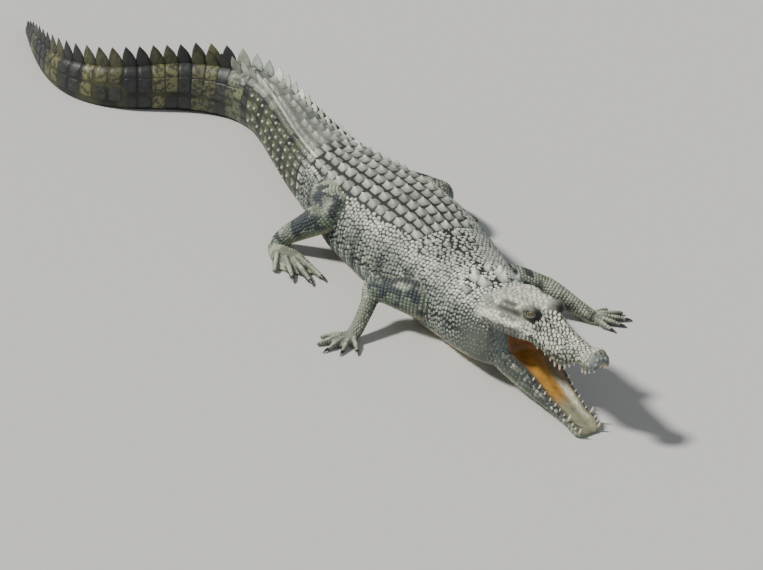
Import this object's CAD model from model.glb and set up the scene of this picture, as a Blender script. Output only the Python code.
import itertools
import math

import bpy
import numpy as np
from mathutils import Matrix, Vector
from mathutils.bvhtree import BVHTree
from mathutils.kdtree import KDTree


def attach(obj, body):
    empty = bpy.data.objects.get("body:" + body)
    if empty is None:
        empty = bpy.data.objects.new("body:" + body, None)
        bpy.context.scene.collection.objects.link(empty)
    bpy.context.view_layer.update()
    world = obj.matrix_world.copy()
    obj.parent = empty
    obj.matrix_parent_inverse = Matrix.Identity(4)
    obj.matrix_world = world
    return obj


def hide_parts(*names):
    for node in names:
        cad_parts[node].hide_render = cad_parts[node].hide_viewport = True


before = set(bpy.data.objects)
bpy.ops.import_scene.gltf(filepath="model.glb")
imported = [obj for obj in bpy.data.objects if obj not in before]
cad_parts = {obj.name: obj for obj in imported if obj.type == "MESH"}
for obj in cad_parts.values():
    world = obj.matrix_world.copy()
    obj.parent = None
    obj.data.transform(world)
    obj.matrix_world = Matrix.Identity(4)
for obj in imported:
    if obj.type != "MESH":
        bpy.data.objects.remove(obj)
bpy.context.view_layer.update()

# A young saltwater crocodile lying with its mouth open. Everything is made in millimetres from the start of the
# spine, at the back of the skull table, and is moved by SHIFT when it becomes a Blender mesh.
SHIFT = np.array([10.7365, 640.3615, 0.0])
rng = np.random.default_rng(11)


def srgb(r, g, b):
    c = np.array([r, g, b]) / 255.0
    return np.where(c <= 0.04045, c / 12.92, ((c + 0.055) / 1.055) ** 2.4)


# ---------------------------------------------------------------- the same tables as the solids
HEAD_LENGTH = 278.0
BODY_LENGTH = 1720.0
SHOULDER, HIP, VENT = 190, 600, 660
SPINE_STEP = 5.0
SPINE_HEADING = [
    [0, -1], [120, -5], [260, -3], [400, 3.5], [540, 4.5], [680, 0], [850, -7], [1000, 4], [1150, 53],
    [1290, 66], [1500, 0], [BODY_LENGTH, -17]]
BODY_OUTLINE = [
    [-30, 62, 114, 168, 44], [0, 73, 106, 173, 30], [60, 81, 94, 170, 14], [125, 87, 83, 162, 2],
    [SHOULDER, 97, 75, 157, -5], [290, 111, 66, 158, -5], [400, 123, 60, 160, -5], [510, 116, 60, 157, -5],
    [HIP, 94, 62, 149, -5], [VENT, 82, 61, 140, -7], [760, 69, 60, 130, -8], [920, 55, 56, 119, -7],
    [1080, 42, 50, 108, -7], [1240, 31, 44, 95, -6], [1400, 22, 38, 80, -5], [1530, 15, 31, 62, -4],
    [1640, 9, 22, 40, -3], [BODY_LENGTH - 12, 4, 9, 16, -2]]
BACK_SQUARENESS, BELLY_SQUARENESS = 2.3, 2.6

HINGE_STATION, HINGE_HEIGHT = 1.07, 129.0
UPPER_HEADING, LOWER_HEADING, HEAD_ROLL = 6.6, 9.4, -1.0
UPPER_PITCH, LOWER_PITCH = 7.7, -24.9
UPPER_JAW = [
    [0, 0.036, 0.025, 0.018, 0.026, 0.026, 0.014, 0.002, -0.010],
    [0.015, 0.056, 0.045, 0.026, 0.044, 0.044, 0.026, 0.004, -0.020],
    [0.045, 0.076, 0.064, 0.034, 0.062, 0.062, 0.042, 0.010, -0.028],
    [0.09, 0.085, 0.074, 0.042, 0.074, 0.072, 0.050, 0.014, -0.036],
    [0.13, 0.081, 0.060, 0.038, 0.060, 0.068, 0.042, 0.010, -0.030],
    [0.17, 0.074, 0.050, 0.033, 0.048, 0.063, 0.032, 0.004, -0.022],
    [0.22, 0.080, 0.047, 0.036, 0.048, 0.071, 0.028, -0.006, -0.038],
    [0.28, 0.098, 0.047, 0.041, 0.052, 0.084, 0.030, -0.016, -0.060],
    [0.35, 0.113, 0.052, 0.045, 0.060, 0.096, 0.034, -0.018, -0.070],
    [0.43, 0.122, 0.068, 0.052, 0.080, 0.104, 0.046, -0.004, -0.052],
    [0.51, 0.136, 0.094, 0.060, 0.112, 0.112, 0.066, 0.020, -0.020],
    [0.57, 0.152, 0.120, 0.072, 0.150, 0.121, 0.086, 0.034, -0.004],
    [0.63, 0.170, 0.150, 0.090, 0.204, 0.133, 0.104, 0.040, 0.000],
    [0.70, 0.189, 0.178, 0.105, 0.205, 0.147, 0.110, 0.040, -0.006],
    [0.78, 0.209, 0.190, 0.114, 0.198, 0.163, 0.112, 0.042, -0.004],
    [0.87, 0.230, 0.194, 0.125, 0.195, 0.182, 0.112, 0.044, 0.006],
    [0.96, 0.245, 0.190, 0.132, 0.189, 0.198, 0.110, 0.042, 0.016],
    [1.04, 0.250, 0.172, 0.136, 0.160, 0.204, 0.096, 0.035, 0.004],
    [1.10, 0.230, 0.150, 0.140, 0.130, 0.198, 0.084, 0.030, -0.010]]
LOWER_JAW = [
    [0.035, 0.066, -0.004, -0.034, 0.020, 0.004], [0.060, 0.092, -0.002, -0.050, 0.022, 0.008],
    [0.10, 0.104, 0.002, -0.062, 0.024, 0.016], [0.15, 0.103, 0.003, -0.074, 0.024, 0.022],
    [0.21, 0.101, -0.010, -0.088, 0.024, 0.022], [0.29, 0.108, -0.014, -0.112, 0.024, 0.028],
    [0.37, 0.118, -0.020, -0.138, 0.025, 0.034], [0.46, 0.128, -0.018, -0.170, 0.026, 0.040],
    [0.56, 0.140, -0.010, -0.200, 0.027, 0.048], [0.66, 0.160, -0.003, -0.222, 0.028, 0.056],
    [0.77, 0.185, -0.004, -0.236, 0.030, 0.058], [0.88, 0.210, 0.004, -0.242, 0.034, 0.058],
    [0.97, 0.228, 0.016, -0.236, 0.040, 0.050], [1.06, 0.235, 0.018, -0.212, 0.050, 0.040],
    [1.14, 0.205, 0.002, -0.150, 0.060, 0.030]]
UPPER_TEETH = [
    [0.022, 7], [0.052, 8], [0.085, 11], [0.118, 13], [0.215, 7], [0.25, 10], [0.285, 13], [0.325, 17],
    [0.37, 15], [0.415, 11], [0.465, 9], [0.53, 10]]
LOWER_TEETH = [
    [0.055, 14], [0.09, 8], [0.122, 9], [0.165, 18], [0.215, 7], [0.26, 8], [0.305, 9], [0.355, 9],
    [0.41, 10], [0.465, 11], [0.53, 10]]
EYE_RADIUS = 0.042 * HEAD_LENGTH
EYE_AT = [0.622, 0.101, 0.166]
NOSTRIL_AT = [0.052, 0.019]
GAPE_CORNER, CHEEK_REAR = 0.80, 0.98
CLAWED = 3                          # how many toes of each foot have a claw

LEGS = {
    "right_fore": dict(
        upper=[[-22, 172, 74, 34, 42], [-58, 182, 74, 34, 40], [-88, 207, 78, 30, 34],
               [-118, 238, 81, 24, 27], [-142, 262, 80, 20, 21]],
        lower=[[-124, 254, 88, 15, 18], [-140, 261, 76, 17, 19], [-149, 250, 61, 15, 17],
               [-168, 236, 41, 13, 14], [-188, 224, 22, 13, 12], [-200, 218, 14, 14, 9]],
        palm=[[-188, 232], [-192, 216], [-206, 205], [-226, 203], [-239, 213], [-238, 232], [-224, 241],
              [-203, 240]],
        wrist=[-196, 224], digits=[[-209, 180], [-235, 189], [-257, 206], [-264, 230], [-246, 250]],
        toe=7.5, spread=0.35),
    "left_fore": dict(
        upper=[[48, 186, 76, 34, 42], [82, 188, 76, 34, 39], [112, 187, 74, 30, 32], [142, 181, 68, 24, 26],
               [170, 173, 60, 20, 20]],
        lower=[[158, 182, 66, 15, 18], [177, 168, 57, 20, 20], [195, 150, 46, 19, 19], [217, 130, 31, 15, 16],
               [238, 112, 18, 15, 11], [245, 105, 13, 15, 9]],
        palm=[[228, 118], [234, 102], [246, 90], [264, 86], [276, 94], [277, 110], [264, 121], [245, 125]],
        wrist=[238, 110], digits=[[262, 62], [287, 68], [307, 82], [310, 105], [290, 126]],
        toe=7.5, spread=0.35),
    "right_hind": dict(
        upper=[[-12, 602, 80, 42, 44], [-48, 586, 86, 41, 42], [-74, 554, 96, 37, 38],
               [-88, 520, 106, 32, 33], [-92, 490, 112, 26, 28]],
        lower=[[-84, 500, 116, 20, 24], [-98, 496, 106, 26, 27], [-119, 514, 84, 25, 28],
               [-140, 538, 58, 20, 22], [-157, 560, 36, 18, 18], [-165, 573, 20, 18, 15],
               [-167, 580, 13, 16, 12]],
        palm=[[-158, 585], [-150, 556], [-144, 520], [-146, 492], [-160, 480], [-180, 482], [-198, 496],
              [-206, 520], [-200, 552], [-188, 582], [-174, 592]],
        wrist=[-172, 566], digits=[[-147, 440], [-173, 436], [-198, 460], [-217, 496]],
        toe=9.0, spread=0.45),
    "left_hind": dict(
        upper=[[28, 602, 72, 40, 40], [58, 592, 76, 38, 38], [84, 564, 84, 34, 34], [106, 532, 91, 30, 30],
               [120, 502, 97, 25, 27]],
        lower=[[110, 510, 102, 20, 23], [126, 506, 92, 26, 27], [147, 522, 74, 25, 27],
               [167, 545, 54, 20, 22], [182, 568, 35, 18, 18], [188, 582, 20, 18, 15], [189, 590, 13, 16, 12]],
        palm=[[174, 596], [164, 566], [158, 532], [160, 506], [174, 494], [194, 498], [210, 512], [218, 534],
              [214, 564], [204, 594], [190, 604]],
        wrist=[187, 576], digits=[[160, 452], [184, 450], [206, 476], [226, 512]],
        toe=9.0, spread=0.45),
}


# ---------------------------------------------------------------- number helpers
def unit(v):
    return v / np.maximum(np.linalg.norm(v, axis=-1, keepdims=True), 1e-9)


def smooth_table(rows):
    """Cubic Hermite curves through a table: its first column is the station, the others are the values."""
    rows = np.array(rows, float)
    x, v = rows[:, 0], rows[:, 1:]
    n = len(x)
    lo, hi = np.maximum(np.arange(n) - 1, 0), np.minimum(np.arange(n) + 1, n - 1)
    slope = (v[hi] - v[lo]) / (x[hi] - x[lo])[:, None]

    def at(s):
        s = np.clip(np.asarray(s, float), x[0], x[-1])
        i = np.clip(np.searchsorted(x, s, side="left") - 1, 0, n - 2)
        h = (x[i + 1] - x[i])[..., None]
        t = (s - x[i])[..., None] / h
        out = ((1 + 2 * t) * (1 - t) ** 2 * v[i] + t * (1 - t) ** 2 * h * slope[i]
               + t * t * (3 - 2 * t) * v[i + 1] + t * t * (t - 1) * h * slope[i + 1])
        return [out[..., k] for k in range(v.shape[1])]
    return at


def first_value(table, s):
    return float(table(s)[0])


def hash3(ix, iy, iz, seed):
    """A number from 0 to 1 for each whole-numbered place."""
    with np.errstate(over="ignore"):
        n = (ix.astype(np.uint32) * np.uint32(374761393) + iy.astype(np.uint32) * np.uint32(668265263)
             + iz.astype(np.uint32) * np.uint32(2246822519) + np.uint32(seed * 3266489917 % 2**32))
        n = (n ^ (n >> np.uint32(13))) * np.uint32(1274126177)
        n = (n ^ (n >> np.uint32(15))) * np.uint32(2654435761)
        n = n ^ (n >> np.uint32(16))
    return n.astype(np.float64) / 2**32


def noise(p, size, seed=0, octaves=1):
    """Smooth value noise from 0 to 1; size is the spacing in mm."""
    total, weight, amount = 0.0, 0.0, 1.0
    for o in range(octaves):
        q = np.asarray(p, float) / size * 2**o + 1000.0
        i = np.floor(q).astype(np.int64)
        f = q - i
        f = f * f * (3 - 2 * f)
        value = 0.0
        for corner_at in itertools.product((0, 1), repeat=3):
            wx, wy, wz = (f[..., k] if far else 1 - f[..., k] for k, far in enumerate(corner_at))
            value = value + wx * wy * wz * hash3(*(i[..., k] + corner_at[k] for k in range(3)), seed + o)
        total, weight = total + value * amount, weight + amount
        amount *= 0.5
    return total / weight


def cells(p, size, seed=0):
    """Distance to the nearest and second nearest of scattered points, in units of size."""
    q = np.asarray(p, float) / size + 1000.0
    i = np.floor(q).astype(np.int64)
    nearest, second = np.full(q.shape[:-1], 9.0), np.full(q.shape[:-1], 9.0)
    for shift in itertools.product((-1, 0, 1), repeat=3):
        j = i + np.array(shift)
        o = np.stack([hash3(j[..., 0], j[..., 1], j[..., 2], seed + k) for k in range(3)], -1)
        d = np.linalg.norm(j + o - q, axis=-1)
        second = np.minimum(second, np.maximum(nearest, d))
        nearest = np.minimum(nearest, d)
    return nearest, second


def step(a, b, x):
    """0 up to a, 1 from b on, smooth between."""
    t = np.clip((np.asarray(x, float) - a) / (b - a), 0, 1)
    return t * t * (3 - 2 * t)


def band(a, b, c, d, x):
    """1 from b to c, fading to 0 at a and at d."""
    return step(a, b, x) * (1 - step(c, d, x))


def bell(x, middle, width):
    return np.exp(-((np.asarray(x, float) - middle) / width) ** 2)


def mix(a, b, t):
    t = np.asarray(t, float)[..., None]
    return a * (1 - t) + b * t


# ---------------------------------------------------------------- spine and body
heading_at, outline_at = smooth_table(SPINE_HEADING), smooth_table(BODY_OUTLINE)
turns = np.radians(heading_at(np.arange(0, BODY_LENGTH, SPINE_STEP) + SPINE_STEP / 2)[0])
steps = np.stack([-np.sin(turns), np.cos(turns)], -1) * SPINE_STEP
spine = np.concatenate([np.zeros((1, 2)), np.cumsum(steps, 0)])


def spine_at(s):
    """The point on the ground under the spine, the way back along it and the way to its left."""
    s = np.asarray(s, float)
    turn = np.radians(heading_at(s)[0])
    back = np.stack([-np.sin(turn), np.cos(turn), 0 * turn], -1)
    left = np.stack([np.cos(turn), np.sin(turn), 0 * turn], -1)
    at = np.clip(s / SPINE_STEP, 0, len(spine) - 1.001)
    i = np.floor(at).astype(int)
    f = (at - i)[..., None]
    ground = np.concatenate([spine[i] * (1 - f) + spine[i + 1] * f, np.zeros(s.shape + (1,))], -1)
    return ground + back * np.minimum(s, 0)[..., None], back, left


def body_point(s, angle, lift=0.0):
    """A point on the body: 0 degrees is its left, 90 its top; lift is its height over the surface."""
    s, angle = np.broadcast_arrays(np.asarray(s, float), np.asarray(angle, float))
    ground, _, left = spine_at(s)
    half, widest, top, bottom = outline_at(s)
    c, v = np.cos(np.radians(angle)), np.sin(np.radians(angle))
    power = np.where(v > 0, 2 / BACK_SQUARENESS, 2 / BELLY_SQUARENESS)
    height = np.where(v > 0, top - widest, widest - bottom)
    p = ground + left * (np.sign(c) * np.abs(c) ** power * (half + lift))[..., None]
    p[..., 2] = np.maximum(widest + np.sign(v) * np.abs(v) ** power * (height + lift), 0)
    return p


def back_angle(s, x):
    """The angle on the back of a point x mm to the left of the middle."""
    half = outline_at(s)[0]
    return np.degrees(np.arccos(np.sign(x) * np.clip(np.abs(x) / half, 0, 0.999) ** (BACK_SQUARENESS / 2)))


def from_top(angle):
    """Degrees from the middle of the back, 0 to 180."""
    off = (np.asarray(angle, float) - 90) % 360
    return np.minimum(off, 360 - off)


# ---------------------------------------------------------------- lofted sheets
def ring_quads(rings, around):
    """Four-sided faces between rings of points that follow each other."""
    k = np.arange(around)
    after, base = (k + 1) % around, (np.arange(rings - 1) * around)[:, None]
    return np.stack([base + k, base + after, base + around + after, base + around + k], -1).reshape(-1, 4)


def end_fans(rings, around):
    """Triangles from the first ring to the point after all rings, and from the last ring to the next one."""
    k, m = np.arange(around), rings * around
    after = (k + 1) % around
    return np.concatenate([np.stack([after, k, 0 * k + m], -1),
                           np.stack([m - around + k, m - around + after, 0 * k + m + 1], -1)])


def halved(quads):
    return np.concatenate([quads[:, [0, 1, 2]], quads[:, [0, 2, 3]]])


def capped(rings, around):
    """Triangles of rings that are open below and have one point at their top."""
    return np.concatenate([halved(ring_quads(rings, around)), end_fans(rings, around)[around:] - [0, 0, 1]])


LEAST_GAP = 0.05                    # mm between two rows or columns


class Sheet:
    """A loft as a grid of points: rows along the part, columns around it."""

    def __init__(self, kind, points, stations, leg=""):
        self.kind, self.p, self.stations, self.leg = kind, points, np.asarray(stations, float), leg
        self.rows, self.cols = points.shape[:2]
        du = np.gradient(points, axis=0)
        dv = (np.roll(points, -1, 1) - np.roll(points, 1, 1)) / 2
        n = unit(np.cross(du, dv))
        inward = ((points - points.mean(1, keepdims=True)) * n).sum(-1).mean() < 0
        self.n = -n if inward else n
        self.row_gap = np.maximum(np.linalg.norm(du, axis=-1), LEAST_GAP)
        self.col_gap = np.maximum(np.linalg.norm(dv, axis=-1), LEAST_GAP)

    def sample(self, field, i, j):
        """A field of the sheet between its rows and columns."""
        i = np.clip(i, 0, self.rows - 1.0001)
        a, b = np.floor(i).astype(int), np.floor(j).astype(int)
        f, g = i - a, j - b
        b0, b1 = b % self.cols, (b + 1) % self.cols
        if field.ndim == 3:
            f, g = f[..., None], g[..., None]
        return ((field[a, b0] * (1 - g) + field[a, b1] * g) * (1 - f)
                + (field[a + 1, b0] * (1 - g) + field[a + 1, b1] * g) * f)

    def station(self, i):
        return np.interp(i, np.arange(self.rows), self.stations)

    def row(self, station):
        return np.interp(station, self.stations, np.arange(self.rows))

    def mesh(self):
        """Points, four-sided faces and the triangles that close the ends."""
        quads, fans = ring_quads(self.rows, self.cols), end_fans(self.rows, self.cols)
        v = np.concatenate([self.p.reshape(-1, 3), self.p[:1].mean(1), self.p[-1:].mean(1)])
        q = quads[len(quads) // 2]
        if np.dot(np.cross(v[q[1]] - v[q[0]], v[q[3]] - v[q[0]]), self.n.reshape(-1, 3)[q[0]]) < 0:
            quads, fans = quads[:, ::-1], fans[:, ::-1]
        return v, quads, fans


SHEETS = []


def add_sheet(*what):
    """A sheet that is part of the animal's surface."""
    sheet = Sheet(*what)
    sheet.id = len(SHEETS)
    SHEETS.append(sheet)
    return sheet


def catmull_rom(a, b, d, e, t):
    return 0.5 * (2 * b + (d - a) * t + (2 * a - 5 * b + 4 * d - e) * t * t + (3 * b - a - 3 * d + e) * t**3)


def closed_curve(corners, count):
    """Smooth closed rings through corners (rings, corners, values), with count points for each corner."""
    c = np.asarray(corners, float)
    t = (np.arange(count) / count)[None, None, :, None]
    a, b, d, e = (np.roll(c, k, 1)[:, :, None, :] for k in (1, 0, -1, -2))
    return catmull_rom(a, b, d, e, t).reshape(c.shape[0], c.shape[1] * count, -1)


def open_curve(points, count):
    """A smooth curve through points, with count points for each span."""
    c = np.asarray(points, float)
    ext = np.concatenate([[2 * c[0] - c[1]], c, [2 * c[-1] - c[-2]]])
    spans = [catmull_rom(*ext[k:k + 4], t) for k in range(len(c) - 1) for t in np.arange(count) / count]
    return np.array(spans + [c[-1]])


# body
BODY_COLS, ROW_LENGTH, FIRST_STATION = 144, 4.0, -30
SKIN_DEPTH = -1.2                   # the skin lies this far inside the solids, to leave room for the scales
# rows of the rounded front end: station, share of the first ring's size, mm ahead of it
FRONT_ROWS = [(-42, 0.35, 12), (-40, 0.65, 10), (-36, 0.9, 6)]
body_s = np.arange(FIRST_STATION, BODY_LENGTH - 12 + 0.1, ROW_LENGTH)


def body_grid():
    s, a = np.meshgrid(body_s, np.arange(BODY_COLS) * 360.0 / BODY_COLS, indexing="ij")
    off = from_top(a)
    p = body_point(s, a, SKIN_DEPTH)
    trunk = band(150, 260, 560, 640, s)
    groove = -2.6 * trunk * bell(off, 78 + 5 * np.sin(s / 60), 5)
    lumps = 1.6 * (noise(p, 45, 3, 2) - 0.5) * trunk
    joints = band(20, 60, 200, 280, s) + band(520, 560, 650, 700, s)
    folds = 1.3 * (np.sin(s / 15 + 3 * noise(p, 50, 5)) * bell(off, 100, 30) * joints)
    relief = groove + lumps + folds
    centre = p.mean(1, keepdims=True)
    p = p + unit(p - centre) * (relief * (p[..., 2] > 2))[..., None]
    p[..., 2] = np.maximum(p[..., 2], 0)
    ahead, behind = -spine_at(0)[1], spine_at(BODY_LENGTH)[1]
    front = [centre[0] + (p[0] - centre[0]) * share + ahead * reach for _, share, reach in FRONT_ROWS]
    tip = centre[-1] + (p[-1] - centre[-1]) * 0.5 + behind * 4
    stations = [f[0] for f in FRONT_ROWS] + list(body_s) + [BODY_LENGTH - 8]
    return add_sheet("body", np.concatenate([front, p, [tip]]), stations)


def body_index(s, angle):
    """Row and column of the body's sheet."""
    row = (np.asarray(s, float) - FIRST_STATION) / ROW_LENGTH + len(FRONT_ROWS)
    return row, np.asarray(angle, float) * BODY_COLS / 360.0


def body_row(s):
    return float(body_index(s, 0)[0])


BODY = body_grid()

# head and jaws
PER_CORNER, CORNERS = 10, 12        # columns for each corner of a jaw ring, and the corners of a ring
upper_at, lower_at = smooth_table(UPPER_JAW), smooth_table(LOWER_JAW)
hinge = spine_at(20)[0] + np.array([0, 0, HINGE_HEIGHT])


def jaw_frame(heading, pitch):
    """The ways ahead, left and up of a jaw."""
    h, p, r = np.radians([heading, pitch, HEAD_ROLL])
    ahead = np.array([np.sin(h) * np.cos(p), -np.cos(h) * np.cos(p), np.sin(p)])
    level = np.array([np.cos(h), np.sin(h), 0])
    above = -np.cross(level, ahead)
    return ahead, level * np.cos(r) + above * np.sin(r), above * np.cos(r) - level * np.sin(r)


UPPER_AXES, LOWER_AXES = jaw_frame(UPPER_HEADING, UPPER_PITCH), jaw_frame(LOWER_HEADING, LOWER_PITCH)


def jaw_point(axes, u, y, z):
    ahead, left, up = axes
    u, y, z = np.broadcast_arrays(np.asarray(u, float), np.asarray(y, float), np.asarray(z, float))
    return (hinge + ahead * ((HINGE_STATION - u) * HEAD_LENGTH)[..., None]
            + left * (y * HEAD_LENGTH)[..., None] + up * (z * HEAD_LENGTH)[..., None])


def upper_half(u):
    w, z_mid, y_ridge, z_ridge, y_side, z_side, z_max, z_lip = upper_at(u)
    return [(0 * u, z_mid), (y_ridge, z_ridge), (y_side, z_side), (w, z_max), (0.97 * w, z_lip),
            (0.7 * w, z_lip + 0.016), (0 * u, z_lip + 0.024)]


def lower_half(u):
    w, z_rim, z_bottom, rim, depth = lower_at(u)
    floor = z_rim - depth
    return [(0 * u, floor + 0.2 * depth), (0.55 * (w - rim), floor), (w - rim, z_rim), (w, z_rim - 0.006),
            (w, 0.45 * z_rim + 0.55 * z_bottom), (0.7 * w, z_bottom + 0.010), (0 * u, z_bottom)]


def jaw_rings(half, u):
    """Both sides of a jaw's rings from the seven corners of the left half."""
    y, z = (np.stack(values, -1) for values in zip(*half(u)))
    y = np.concatenate([y, -y[:, 5:0:-1]], 1)
    z = np.concatenate([z, z[:, 5:0:-1]], 1)
    ring = closed_curve(np.stack([y, z], -1), PER_CORNER)
    return ring[..., 0], ring[..., 1]


def folded(column):
    """The corner of a jaw ring, counted the same on both sides, from 0 to 6."""
    t = np.asarray(column, float) / PER_CORNER % CORNERS
    return np.minimum(t, CORNERS - t)


def raised(kind, p, relief, u):
    """A jaw's sheet, with its points moved out by the relief."""
    return add_sheet(kind, p + Sheet("smooth", p, u).n * relief[..., None], u)


# folds and hollows of the head: height in mm, corner and its spread, then the band of u where they run
HEAD_FOLDS = [
    (-3.4, 1.72, 0.13, 0.69, 0.72, 0.88, 0.93),         # ear slit
    (-2.4, 1.22, 0.14, 0.74, 0.77, 0.86, 0.90),         # crease over the ear
    (-1.6, 2.15, 0.10, 0.70, 0.74, 0.84, 0.88),         # crease under the ear
    (2.0, 1.35, 0.22, 0.70, 0.75, 0.90, 0.95),          # ear flap
    (2.4, 2.5, 0.3, 0.58, 0.70, 0.98, 1.05),            # cheek ridge
    (-2.2, 3.05, 0.2, 0.60, 0.70, 0.98, 1.05)]          # hollow over the gape
# the same where they are short: height, u and its spread, corner and its spread
HEAD_SPOTS = [
    (2.2, 0.60, 0.035, 1.0, 0.35),                      # brow
    (-2.2, 0.545, 0.022, 1.9, 0.5),                     # hollow before the eye
    (-2.0, 0.535, 0.03, 1.65, 0.3)]                     # its deepest place


def head_grid():
    u = np.linspace(0, 1.10, 170)
    y, z = jaw_rings(upper_half, u)
    p = jaw_point(UPPER_AXES, u[:, None], y, z)
    t, u_at, ay = folded(np.arange(CORNERS * PER_CORNER))[None, :], u[:, None], np.abs(y)
    top = 1 - step(2.2, 3.0, t)
    ridge_y = np.interp(u_at, [0.33, 0.45, 0.57], [0.036, 0.046, 0.066])
    relief = 3.2 * bell(ay, ridge_y, 0.011) * band(0.32, 0.38, 0.54, 0.60, u_at) * top
    relief -= 1.6 * bell(ay, 0, 0.02) * band(0.30, 0.36, 0.56, 0.62, u_at) * top
    relief += 2.6 * bell(u_at, 0.062, 0.030) * bell(ay, 0, 0.034) * top
    relief -= 4.2 * bell(u_at, NOSTRIL_AT[0], 0.010) * bell(ay, NOSTRIL_AT[1], 0.0075) * top
    for height, corner, spread, *run in HEAD_FOLDS:
        relief += height * bell(t, corner, spread) * band(*run, u_at)
    for height, at, length, corner, spread in HEAD_SPOTS:
        relief += height * bell(u_at, at, length) * bell(t, corner, spread)
    for at, length in UPPER_TEETH:
        relief += 0.11 * length * bell(u_at, at, 0.013) * bell(t, 3.7, 0.55)
    rough = band(0.02, 0.08, 1.0, 1.08, u_at) * (1 - step(3.6, 4.2, t))
    nearest, second = cells(p, 7.5, 21)
    pebble = 1.5 * np.minimum(second - nearest, 0.35) / 0.35 - 0.75
    relief += rough * pebble * (0.45 + 0.55 * (1 - step(0.62, 0.72, u_at)))
    relief += rough * 1.2 * (noise(p, 16, 31, 2) - 0.5)
    palate = step(4.4, 4.9, t)
    relief += palate * 0.9 * np.sin(u_at * 150 + 40 * ay) * (1 - step(0.5, 0.7, u_at))
    return raised("head", p, relief, u)


def jaw_grid():
    u = np.linspace(0.035, 1.14, 160)
    y, z = jaw_rings(lower_half, u)
    p = jaw_point(LOWER_AXES, u[:, None], y, z)
    t, u_at = folded(np.arange(CORNERS * PER_CORNER))[None, :], u[:, None]
    outside = step(2.9, 3.2, t)
    lumps = 1.2 * (noise(p, 14, 41, 2) - 0.5)
    ridge = 1.4 * bell(t, 3.9, 0.35) * step(0.3, 0.5, u_at)
    groove = 1.6 * bell(t, 4.5, 0.18) * band(0.25, 0.4, 0.9, 1.0, u_at)
    relief = outside * (lumps + ridge - groove)
    for at, length in LOWER_TEETH:
        relief += 0.09 * length * bell(u_at, at, 0.013) * bell(t, 3.1, 0.5)
    relief += (1 - step(0.2, 1.2, t)) * 0.7 * step(0.3, 0.5, u_at) * (noise(p, 16, 43, 2) - 0.3)
    return raised("jaw", p, relief, u)


HEAD, JAW = head_grid(), jaw_grid()


CHEEK_CORNER = 8                    # columns for each of a cheek's 4 corners


def cheek_grid(side):
    """The cheek closes the gape behind its corner."""
    rows = []
    for down in np.linspace(0, 1, 9):
        front = GAPE_CORNER - 0.008 - 0.035 * down
        ring = []
        for u, inset in ((front, 0.012), (CHEEK_REAR, 0.004), (CHEEK_REAR, 0.09), (front + 0.03, 0.05)):
            above, below = upper_at(u), lower_at(u)
            high = jaw_point(UPPER_AXES, u, side * (above[0] - inset), above[7] + 0.02)
            low = jaw_point(LOWER_AXES, u, side * (below[0] - inset), below[1] - 0.02)
            ring.append(high * (1 - down) + low * down)
        rows.append(ring)
    return add_sheet("cheek", closed_curve(rows, CHEEK_CORNER), np.linspace(0, 1, 9))


CHEEKS = [cheek_grid(side) for side in (1, -1)]


# legs and feet
def limb_grid(kind, stations, leg, cols=40, per=7):
    """A limb through stations of place, half width and half thickness, rounded at both ends."""
    st = open_curve(stations, per)
    place = st[:, :3]
    along = unit(np.gradient(place, axis=0))
    across = unit(np.cross(along, np.array([0, 0, 1.0])))
    normal = np.cross(across, along)
    turn = np.arange(cols) * 2 * np.pi / cols
    c, s = np.cos(turn)[None, :, None], np.sin(turn)[None, :, None]
    wide, thick = st[:, 3][:, None, None], st[:, 4][:, None, None]
    p = place[:, None, :] + (across[:, None, :] * wide * c + normal[:, None, :] * thick * s)
    ends = []
    for k, sign in ((0, -1), (-1, 1)):
        r = min(st[k, 3], st[k, 4])
        ends.append([place[k] + along[k] * sign * r * reach + (p[k] - place[k]) * share
                     for reach, share in ((0.45, 0.82), (0.65, 0.45))])
    p = np.concatenate([[ends[0][1], ends[0][0]], p, ends[1]])
    return add_sheet(kind, p, np.concatenate([[0, 0], np.linspace(0, 1, len(st)), [1, 1]]), leg)


TOE_SLIMNESS = 0.66


def digit_path(leg, k):
    """Root, middle, end and heading of toe k."""
    x, y = leg["digits"][k]
    toe, spread = leg["toe"], leg["spread"]
    tip = np.array([x, y, toe * 0.55])
    root = np.array([*leg["wrist"], toe + 4.0]) * (1 - spread) + np.array([x, y, toe + 3.0]) * spread
    way = unit((tip - root) * [1, 1, 0])
    middle = root * 0.45 + (tip - way * 2) * 0.55
    middle[2] = toe * 0.95
    return root, middle, tip - way * 2 if k < CLAWED else tip + way, way


def foot_grids(name, leg):
    """The palm and toes of a foot; returns the paths of its toes."""
    toe = leg["toe"]
    outline = closed_curve([leg["palm"]], 8)[0]
    mid, top = outline.mean(0), toe + 4.5
    rows = []
    for z, k in ((0, 0.15), (0, 0.85), (1.2, 0.98), (0.5 * top, 1.0), (0.8 * top, 0.9), (0.95 * top, 0.7),
                 (top, 0.4), (top + 1, 0.12)):
        ring = mid + (outline - mid) * k
        near = np.exp(-(np.linalg.norm(ring - leg["wrist"], axis=1) / 22) ** 2)
        rows.append(np.concatenate([ring, (z * (1 + 0.35 * near * (z > 1)))[:, None]], 1))
    add_sheet("palm", np.array(rows), np.linspace(0, 1, len(rows)), name)
    paths = [digit_path(leg, k) for k in range(len(leg["digits"]))]
    for root, middle, end, _ in paths:
        knuckles = [(root, toe), (root * 0.5 + middle * 0.5 + [0, 0, 1.2], toe * 0.9), (middle, toe),
                    (middle * 0.5 + end * 0.5 + [0, 0, 0.6], toe * 0.78), (end, toe * 0.66)]
        stations = [[*p, r * TOE_SLIMNESS, min(r * 0.9, p[2] + 0.6)] for p, r in knuckles]
        limb_grid("digit", stations, name, cols=18, per=5)
    return paths


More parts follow.
